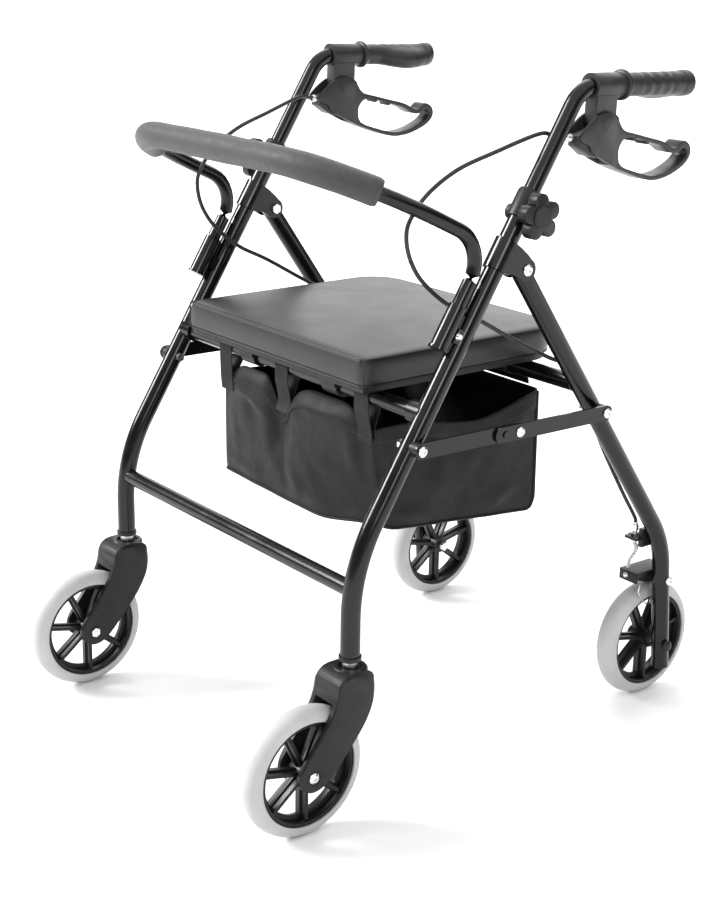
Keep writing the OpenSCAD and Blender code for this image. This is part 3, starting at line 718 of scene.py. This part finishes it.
# the front edge: x, height, how far it bellies out, and how far its top turns in again
FRONT_EDGE = [(-152, 412, 0, 0), (-134, 410, -2, 0), (-122, 419, 2, 2), (-108, 430, 5, 7), (-52, 430, 5, 8),
              (-40, 416, 0, 2), (-31, 394, -6, 0), (-21, 388, -6, 0), (-11, 396, -6, 0), (2, 411, 0, 2),
              (14, 425, 6, 7), (34, 431, 8, 11), (100, 431, 9, 12), (118, 426, 6, 8), (128, 415, 0, 2),
              (139, 408, -3, 0), (152, 408, 0, 0)]
FRONT_SAG = ((-152, 285), (40, 279), (60, 279), (110, 286), (152, 285))
SIDE_EDGE = ((-126, 411), (-60, 411), (-23, 404), (10, 398), (38, 395), (70, 401), (96, 409), (131, 418))


def edge_value(x, column):
    """A smooth reading of the front edge's table."""
    xs = [row[0] for row in FRONT_EDGE]
    near = np.linspace(x - 5, x + 5, 7)
    return float(np.mean(np.interp(near, xs, [row[column] for row in FRONT_EDGE])))


def bag_rim(x, y, panel):
    """Height of the open edge."""
    if panel == "front":
        return edge_value(x, 1)
    if panel == "rear":
        return 418
    return float(np.mean(np.interp(np.linspace(y - 12, y + 12, 7), *zip(*SIDE_EDGE))))


def front_at(x, z, v):
    """The front panel's place before it bellies out; its near lower corner is drawn in."""
    drawn = min(max((x - 40) / 110, 0), 1) ** 1.6 * (1 - v) ** 1.5
    return bag_front_y(z) + 32 * drawn


def crease(p, a, b, width):
    """A soft ridge along the line from a to b, as a height from 0 to 1."""
    a, b, p = np.array(a), np.array(b), np.array(p)
    d = b - a
    t = float(np.clip((p - a) @ d / (d @ d), 0, 1))
    gap = np.linalg.norm(p - a - d * t) / (width * (0.5 + t))
    return math.exp(-gap * gap) * math.sin(math.pi * min(t * 0.9 + 0.08, 1))


# each fold: start and end in x and z, width, and how far it stands out
FRONT_FOLDS = [
    ((-130, 410), (-34, 382), 8, 5.0), ((-134, 404), (-118, 310), 12, 3.0),
    ((-96, 404), (-60, 352), 12, -3.5), ((-30, 384), (-34, 330), 7, -5.0),
    ((-32, 380), (0, 296), 7, -4.5), ((-26, 388), (24, 408), 8, 4.5),
    ((20, 409), (110, 410), 9, 3.5), ((112, 408), (124, 330), 11, 5.0),
    ((128, 400), (132, 300), 8, -3.5), ((40, 350), (86, 300), 14, -2.5),
    ((-135, 306), (-64, 294), 12, 2.5), ((-20, 340), (20, 292), 12, 2.5)]
# the same for the sides, with start and end in y and z
SIDE_FOLDS = [
    ((-112, 404), (-66, 372), 9, 4.0), ((-66, 372), (-20, 386), 9, 4.0),
    ((-88, 360), (-70, 300), 12, -3.0), ((-20, 372), (-34, 300), 14, 3.0),
    ((40, 345), (10, 290), 16, -3.5), ((120, 402), (60, 350), 15, 4.0),
    ((95, 300), (40, 285), 12, 4.0), ((-96, 306), (-20, 284), 12, 4.0)]


def fold_depth(p, folds):
    return sum(depth * crease(p, a, b, width) for a, b, width, depth in folds)


def bag_point(panel, t, v):
    """A point of the bag's shell: t along one panel, v from its lower edge to its rim."""
    if panel in ("front", "rear"):
        x = BAG_HALF * (1 - 2 * t) * (1 if panel == "front" else -1)
        z_low = float(np.interp(x, *zip(*FRONT_SAG))) if panel == "front" else 265
        rim = bag_rim(x, 0, panel)
        z = z_low + v * (rim - z_low)
        full = math.sin(math.pi * t) * math.sin(math.pi * min(v * 0.85 + 0.06, 1))
        if panel == "rear":
            return np.array([x, bag_rear_y(z) + 2.0 * full, z])
        out = 7 * full + fold_depth((x, z), FRONT_FOLDS) * math.sin(math.pi * t) ** 0.35
        slack = edge_value(x, 2) * v ** 2.2 - edge_value(x, 3) * (max(v - 0.9, 0) / 0.1) ** 1.4
        return np.array([x, front_at(x, z, v) - out - slack, z])
    sign = -1 if panel == "right" else 1
    ahead = t if panel == "right" else 1 - t
    y = -112 + ahead * 240
    rim = bag_rim(0, y, panel)
    z_low = 285 - 21 * ahead
    z = z_low + v * (rim - z_low)
    front = front_at(sign * BAG_HALF, z, v)
    y = front + ahead * (bag_rear_y(z) - front)
    full = math.sin(math.pi * ahead) * math.sin(math.pi * min(v * 0.9 + 0.05, 1))
    out = 5 * full + fold_depth((y, z), SIDE_FOLDS) * math.sin(math.pi * ahead) ** 0.4
    return np.array([sign * (BAG_HALF + out), y, z])


def bag_ring(v):
    """One closed ring round the bag: front, right side, rear, left side."""
    ring = []
    for panel, count in (("front", FRONT), ("right", SIDE), ("rear", FRONT), ("left", SIDE)):
        ring += [bag_point(panel, k / count, v) for k in range(count)]
    ring = np.array(ring)
    for _ in range(3):
        ring = 0.5 * ring + 0.25 * (np.roll(ring, 1, axis=0) + np.roll(ring, -1, axis=0))
    return ring


def make_bag():
    """A sewn shell that hangs between its loops, with a sagging floor."""
    rows = 44
    rings = [bag_ring(LOWEST + (1 - LOWEST) * k / (rows - 1)) for k in range(rows)]
    floor = rings[0]
    middle_point = floor.mean(axis=0)
    inner = []
    for share in (0.97, 0.9, 0.78, 0.62, 0.44, 0.24):
        ring = middle_point + (floor - middle_point) * share
        ring[:, 2] -= 5.0 * (1 - share ** 2)
        inner.append(ring)
    rings = inner[::-1] + rings
    points, sides = np.vstack(rings), len(floor)
    points = np.vstack([points, rings[0].mean(axis=0)])
    faces = strip_faces(len(rings), sides)
    faces += [(j, (j + 1) % sides, len(points) - 1) for j in range(sides)]
    bag = mesh("bag_shell", points, faces)
    thick = bag.modifiers.new("cloth_thickness", "SOLIDIFY")
    thick.thickness = 1.1 * MM
    thick.offset = 1.0 if bag.data.polygons[0].normal.z > 0 else -1.0
    apply_modifiers(bag)
    dress(bag, NYLON)
    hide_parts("bag")
    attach(bag, "frame")


def outward(ring):
    """Flat outward directions of a closed ring round the bag."""
    ahead = np.roll(ring, -1, axis=0) - np.roll(ring, 1, axis=0)
    out = np.cross(ahead, (0, 0, 1))
    out /= np.maximum(np.linalg.norm(out, axis=1), 1e-9)[:, None]
    centre = ring.mean(axis=0)
    flip = np.sign(((ring - centre) * out).sum(axis=1))
    return out * flip[:, None]


def make_bag_trim():
    """The folded hem round the rim, the bound edges, and their stitches."""
    rim = bag_ring(1.0)
    out = outward(rim)
    lift = 0.9
    band = [bag_ring(v) + out * lift for v in (1.0, 0.97, 0.94, 0.9, HEM_FOOT)]
    rows = [rim + [0, 0, 0.3], *band, bag_ring(HEM_FOOT)]
    pieces = [mesh("hem", np.vstack(rows), strip_faces(len(rows), len(rim)))]
    for panel, t in (("left", 0.0), ("right", 1.0)):
        line = [bag_point(panel, t, v) for v in np.linspace(0.02, 0.99, 40)]
        pull = np.array([1.5 if panel == "left" else -1.5, 1.5, 0])
        pieces.append(sweep("bound_edge", [p - pull * 0.9 for p in line], 2.3, 10))
    floor_edge = looped(bag_ring(LOWEST), 2)
    pieces.append(sweep("bound_floor", floor_edge, 1.7, 10, (0, 0, 1), caps=False))
    trim = join("bag_trim", pieces)
    shade_smooth(trim)
    dress(trim, WEBBING)
    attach(trim, "frame")
    dashes = []
    for v in (0.876, 0.985):
        dashes += every_other(resample(looped(bag_ring(v) + out * 1.25), 2.2))
    make_stitches("bag_stitches", dashes)


def every_other(path):
    """Pairs of neighbouring points, with a gap between pairs."""
    return [path[i:i + 2] for i in range(0, len(path) - 1, 2)]


def make_stitches(name, dashes):
    """Short raised threads, one for each pair of points."""
    stations = ((0.0, 0.35), (0.25, 1.0), (0.75, 1.0), (1.0, 0.35))  # share of the length, width
    sides = 6
    points, faces = [], []
    for a, b in dashes:
        d = unit(b - a)
        side = unit(np.cross(d, (0.3, 0.2, 1)))
        other = np.cross(d, side)
        base = len(points)
        for share, scale in stations:
            for k in range(sides):
                turn = 2 * math.pi * k / sides
                spoke = side * math.cos(turn) + other * math.sin(turn)
                points.append(a + (b - a) * share + STITCH_R * scale * spoke)
        for face in strip_faces(len(stations), sides) + end_faces(len(stations), sides):
            faces.append(tuple(base + index for index in face))
    stitches = mesh(name, points, faces)
    dress(stitches, THREAD)
    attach(stitches, "frame")


def panel_y(x, z):
    """The most forward place of the front panel near x, at height z."""
    places = []
    for near in (x - 10, x, x + 10):
        near = float(np.clip(near, -BAG_HALF, BAG_HALF))
        foot = float(np.interp(near, *zip(*FRONT_SAG)))
        v = min((z - foot) / (bag_rim(near, 0, "front") - foot), 1)
        places.append(bag_point("front", (BAG_HALF - near) / (2 * BAG_HALF), v)[1])
    return min(places)


def make_loops():
    """Three cloth loops round the seat crossbar, sewn to the bag's front edge."""
    y, z = SEAT_BAR
    r = BAR_R + 1.1
    reach = 9.5  # half the width of the stitched square
    straps, dashes = [], []
    for x in BAG_LOOPS:
        low_y, high_y = panel_y(x, 396), panel_y(x, 408)

        def sewn(row, q):
            return np.array([x + row, np.interp(q, (398, 410), (low_y, high_y)) - 2.8, q])

        front = [(x, low_y - 1.9, 394.0), (x, high_y - 2.2, 408.0), (x, -132.4, 431.0)]
        turns = np.linspace(-0.35, math.pi + 0.5, 26)
        around = [(x, y - r * math.cos(t), z + r * math.sin(t)) for t in turns]
        back = [(x, -115.0, 434.0), (x, high_y + 2.6, 413.0), (x, low_y + 2.4, 400.0)]
        path = resample(spline([*front, *around[::3], *back], 6), 3.0)
        straps.append(ribbon("loop", path, 25, 1.3))
        for row in (-reach, reach):
            dashes += every_other([sewn(row, q) for q in np.arange(400, 411, 2.2)])
        for q in (400, 409):
            dashes += every_other([sewn(row, q) for row in np.arange(-reach, 10, 2.1)])
    loops = join("bag_loops", straps)
    dress(loops, WEBBING)
    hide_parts("bag_straps")
    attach(loops, "frame")
    make_stitches("loop_stitches", dashes)


def make_rear_sleeve():
    """The bag's rear edge wraps the rear crossbar and drops to the rim."""
    y, z = REAR_BAR
    half, columns = 132.0, 67
    r = 11.4
    turns = np.linspace(math.radians(-205), math.radians(75), 30)
    around = [(0, y + r * math.sin(t), z + r * math.cos(t)) for t in turns]
    down = [(0, y + 17.0, z - 4.5), (0, y + 22.5, z - 14.0), (0, y + 26.6, z - 22.0), (0, 130.2, 420.5)]
    section = resample(spline(around + down, 3), 2.2)
    points = []
    for k in range(columns):
        x = -half + 2 * half * k / (columns - 1)
        pinch = 0.5 * math.sin(x / 9.0) + 0.4 * math.sin(x / 4.3 + 1)
        for index, p in enumerate(section):
            away = np.array([p[1] - y, p[2] - z])
            gap = np.linalg.norm(away)
            push = away / gap * (0.35 * pinch * min(index / 12, 1))
            points.append((x, p[1] + push[0], p[2] + push[1]))
    faces = strip_faces(columns, len(section), closed_round=False)
    sleeve = mesh("bag_sleeve", points, faces)
    thick = sleeve.modifiers.new("cloth_thickness", "SOLIDIFY")
    thick.thickness = 1.0 * MM
    thick.offset = 0.0
    apply_modifiers(sleeve)
    dress(sleeve, NYLON)
    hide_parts("bag_rear_sleeve")
    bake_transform(sleeve)


# -------------------------------------------------------------------------- brake cables

CABLE_POINTS = [
    on_handle((-7, -18.6, -54.3)), (223.5, 58, 732.5), (220, 40, 734), (213, -14, 718),
    (208, -63, 702), (205, -101, 679), (203, -122, 654), (202, -126, 634), (202, -119, 609),
    (202, -101, 584), (203, -66, 556), (204, -20, 533), (206, 37, 501), (208, 84, 477),
    (214, 112, 463), (218, 130, 436), (219, 150, 398), (219, 176, 350), (216, 216, 290),
    (212, 246, 250), (212, 250, 241)]
CABLE_SPLIT = 8  # the point where the upper stretch ends
CABLE_R = 2.45


def make_cables():
    """Each cable in two stretches: the upper runs down from the lever beside the handle, and the lower runs
    on along the frame to the rear brake.
    """
    steps = 8
    path = spline(CABLE_POINTS, steps)
    upper = path[: CABLE_SPLIT * steps + 1]
    lower = path[CABLE_SPLIT * steps:]
    for side in ("left", "right"):
        flip = np.array([1 if side == "left" else -1, 1, 1])
        top = sweep(f"cable_upper_{side}", np.array(upper) * flip, CABLE_R, 16, (1, 0.15, 0.1))
        bottom = sweep(f"cable_lower_{side}", np.array(lower) * flip, CABLE_R, 16, (1, 0.15, 0.1))
        for piece, line in ((top, upper), (bottom, lower)):
            dress(piece, CABLE)
        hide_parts(f"brake_cable_{side}")
        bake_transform(top)
        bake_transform(bottom)


# ------------------------------------------------------------------------------- springs

SPRING_POINTS = [(212, 250, 213.2), (212, 254, 207), (211, 255, 201), (209, 250, 193), (208, 246, 186),
                 (208, 247, 179.5)]
SPRING_R, SPRING_TURNS, SPRING_WIRE = 3.0, 17, 0.72
REAR_AXLE = (282.5, 76)


def make_springs():
    """The return spring round each brake's inner wire, and the clamp at the wire's end."""
    centre = resample(spline(SPRING_POINTS, 8), 0.12)
    pairs = frames_along(centre, (1, 0.1, 0))
    path = []
    for k, (p, (a, b)) in enumerate(zip(centre, pairs)):
        angle = 2 * math.pi * SPRING_TURNS * k / (len(centre) - 1)
        path.append(p + (SPRING_R - SPRING_WIRE) * (math.cos(angle) * a + math.sin(angle) * b))
    coil = sweep("coil", resample(path, 0.5), SPRING_WIRE, 8)
    core = sweep("core", resample(centre, 2), 0.8, 8)
    clamp = sweep("clamp", [(208, y, 170) for y in (241.5, 244, 244.2, 246)], [3.6, 3.6, 2.4, 2.4], 6)
    left = join("brake_spring_left", [coil, core])
    shade_smooth(left)
    dress(left, STEEL)
    right = mirrored(left, "brake_spring_right")
    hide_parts("brake_springs")
    for piece, side in ((left, "left"), (right, "right")):
        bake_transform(piece)
    left = dress(clamp, STEEL)
    left.name = "wire_clamp_left"
    right = mirrored(left, "wire_clamp_right")
    for piece, side in ((left, "left"), (right, "right")):
        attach(piece, f"brake_arm_{side}")


def make_brake_details():
    """A bent wire spring below each brake arm, and a plastic cap over each rear axle head."""
    x, y, z, r = 222.3, 279.0, 128.5, 3.6
    bend = [(x, 254.6, 158), (x, 252.8, 148), (x, 259, 138), (x, 267, 130.5), (x, 272, 128)]
    loop = [(x + 0.012 * k, y + r * math.sin(k * math.pi / 8), z + r - r * math.cos(k * math.pi / 8))
            for k in range(17)]
    rise = [(x + 0.2, 287, 127.6), (x + 0.2, 293, 131), (x + 0.2, 296.5, 139), (x + 0.2, 297, 150)]
    wire = sweep("wire", resample(spline([*bend, *loop, *rise], 4), 0.8), 0.75, 8)
    shade_smooth(wire)
    left = dress(wire, STEEL)
    left.name = "wire_spring_left"
    for piece, side in ((left, "left"), (mirrored(left, "wire_spring_right"), "right")):
        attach(piece, "rear_frame")
    face, (axle_y, axle_z) = TUBE_X + 11.3, REAR_AXLE
    line = [(face + out, axle_y, axle_z) for out in (0, 3.2, 4.6, 5.4)]
    cap = sweep("axle_cap_left", line, [7.6, 7.4, 6.2, 3.4], 28, (0, 0, 1))
    dress(cap, PLASTIC)
    for piece, side in ((cap, "left"), (mirrored(cap, "axle_cap_right"), "right")):
        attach(piece, "rear_frame")


def make_pivot_caps():
    """A low round boss over each end of the lever pins."""
    caps = []
    for sign in (1, -1):
        line = [on_handle((sign * x, 34.0, -39.0)) for x in (11.4, 13.3, 13.9, 14.3)]
        caps.append(sweep("cap", line, [8.2, 8.2, 7.6, 5.0], 32, (0, 0, 1)))
    left = join("pivot_caps_left", caps)
    shade_smooth(left)
    dress(left, LEVER)
    for piece, side in ((left, "left"), (mirrored(left, "pivot_caps_right"), "right")):
        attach(piece, f"lever_{side}")


# --------------------------------------------------------------------------------- grips


# the grip's bare outline, as places along it and radii
GRIP_PROFILE = [
    (60.5, 9.8), (60.7, 15.2), (62.3, 17.0), (65.8, 17.0), (68.6, 14.8), (72, 13.0), (80, 13.2),
    (145, 13.4), (161, 13.6), (164.5, 14.7), (173, 14.9), (176.4, 14.3), (178.2, 12.0), (178.5, 0.6)]
WING_MIDDLE, WING_REACH, WING_WIDTH = 133, 44, 12.5
FINGERS, FINGER_PITCH, FINGER_SWELL = (84, 150), 16.5, 0.75


def finger_swell(s):
    """How far the finger swells stand out at one place along the grip, fading at both ends."""
    first, last = FINGERS
    if not first < s < last:
        return 0.0
    fade = min(1, (s - first) / 8, (last - s) / 8)
    return FINGER_SWELL * math.sin((s - 80) / FINGER_PITCH * 2 * math.pi) * fade


def make_grips():
    """Rubber grips: a flange, finger swells, a palm wing on the inboard side and a domed end."""
    along, radius = zip(*GRIP_PROFILE)
    stations = np.concatenate(
        [np.linspace(along[0], 73, 14), np.linspace(74, 169, 80), np.linspace(170, along[-1], 14)])
    sides = 72
    points = []
    for s in stations:
        base = float(np.interp(s, along, radius))
        wing = WING_WIDTH * max(0.0, 1 - ((s - WING_MIDDLE) / WING_REACH) ** 2) ** 1.2
        swell = finger_swell(s)
        for k in range(sides):
            turn = 2 * math.pi * k / sides
            inboard = max(0.0, math.cos(turn - math.radians(206))) ** 3
            top = max(0.0, math.cos(turn - math.radians(20)))
            r = base + wing * inboard + swell * top
            points.append(on_handle((r * math.cos(turn), s, r * math.sin(turn))))
    faces = strip_faces(len(stations), sides) + end_faces(len(stations), sides)
    left = mesh("rubber_grip_left", points, faces)
    right = mirrored(left, "rubber_grip_right")
    for piece, side in ((left, "left"), (right, "right")):
        dress(piece, RUBBER)
        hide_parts(f"grip_{side}")
        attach(piece, f"handle_{side}")


# -------------------------------------------------------------------------- floor, light


def make_floor():
    data = bpy.data.meshes.new("floor")
    far = 40
    data.from_pydata([(-far, -far, 0), (far, -far, 0), (far, far, 0), (-far, far, 0)], [], [(0, 1, 2, 3)])
    floor = bpy.data.objects.new("floor", data)
    bpy.context.scene.collection.objects.link(floor)
    m = Nodes("pale_floor", Roughness=0.9, Base_Color=(0.93, 0.93, 0.93, 1))
    floor.data.materials.append(m.material)


def sun(name, toward, strength, spread):
    """A distant soft light; spread is its width in the sky in degrees."""
    light = bpy.data.lights.new(name, "SUN")
    light.energy = strength
    light.angle = math.radians(spread)
    obj = bpy.data.objects.new(name, light)
    obj.rotation_mode = "QUATERNION"
    obj.rotation_quaternion = Vector(toward).to_track_quat("Z", "Y")
    bpy.context.scene.collection.objects.link(obj)


def make_light():
    """A softbox at the front left that draws a streak along each tube, and wide fills."""
    world = bpy.data.worlds.new("studio")
    world.use_nodes = True
    world.node_tree.nodes["Background"].inputs["Color"].default_value = (1, 1, 1, 1)
    world.node_tree.nodes["Background"].inputs["Strength"].default_value = 0.18
    bpy.context.scene.world = world
    bpy.context.scene.view_settings.view_transform = "Standard"
    sun("key", (-0.62, -0.62, 0.48), 2.6, 18)
    sun("key_high", (-0.62, -0.50, 0.62), 1.8, 20)
    sun("fill", (0.1, 0.0, 1.0), 2.6, 110)
    sun("side", (0.84, -0.38, 0.40), 0.6, 16)
    sun("back", (-0.6, 0.7, 0.62), 1.6, 60)


CAMERA_PLACE = (1.5283, -1.2290, 0.9525)
CAMERA_AHEAD = (-0.7471, 0.5900, -0.3062)
CAMERA_ROLL = math.radians(1.0)
CAMERA_LENS = 66.0


def make_camera():
    """The photograph's viewpoint: near the user's left front, a little above the handles."""
    ahead = unit(CAMERA_AHEAD)
    side = unit(np.cross(ahead, (0, 0, 1)))
    up = np.cross(side, ahead)
    roll = CAMERA_ROLL
    across = side * math.cos(roll) + up * math.sin(roll)
    above = -side * math.sin(roll) + up * math.cos(roll)
    data = bpy.data.cameras.new("camera")
    data.sensor_width = 36
    data.lens = CAMERA_LENS
    camera = bpy.data.objects.new("camera", data)
    turn = Matrix((across, above, -ahead)).transposed().to_4x4()
    camera.matrix_world = Matrix.Translation(CAMERA_PLACE) @ turn
    bpy.context.scene.collection.objects.link(camera)
    bpy.context.scene.camera = camera


make_camera()
make_cables()
make_light()
make_floor()
dress_cad_nodes()
make_cushion()
make_seat_seams()
make_foam()
make_bag()
make_bag_trim()
make_loops()
make_rear_sleeve()
make_springs()
make_brake_details()
make_pivot_caps()
make_grips()

bpy.context.view_layer.update()
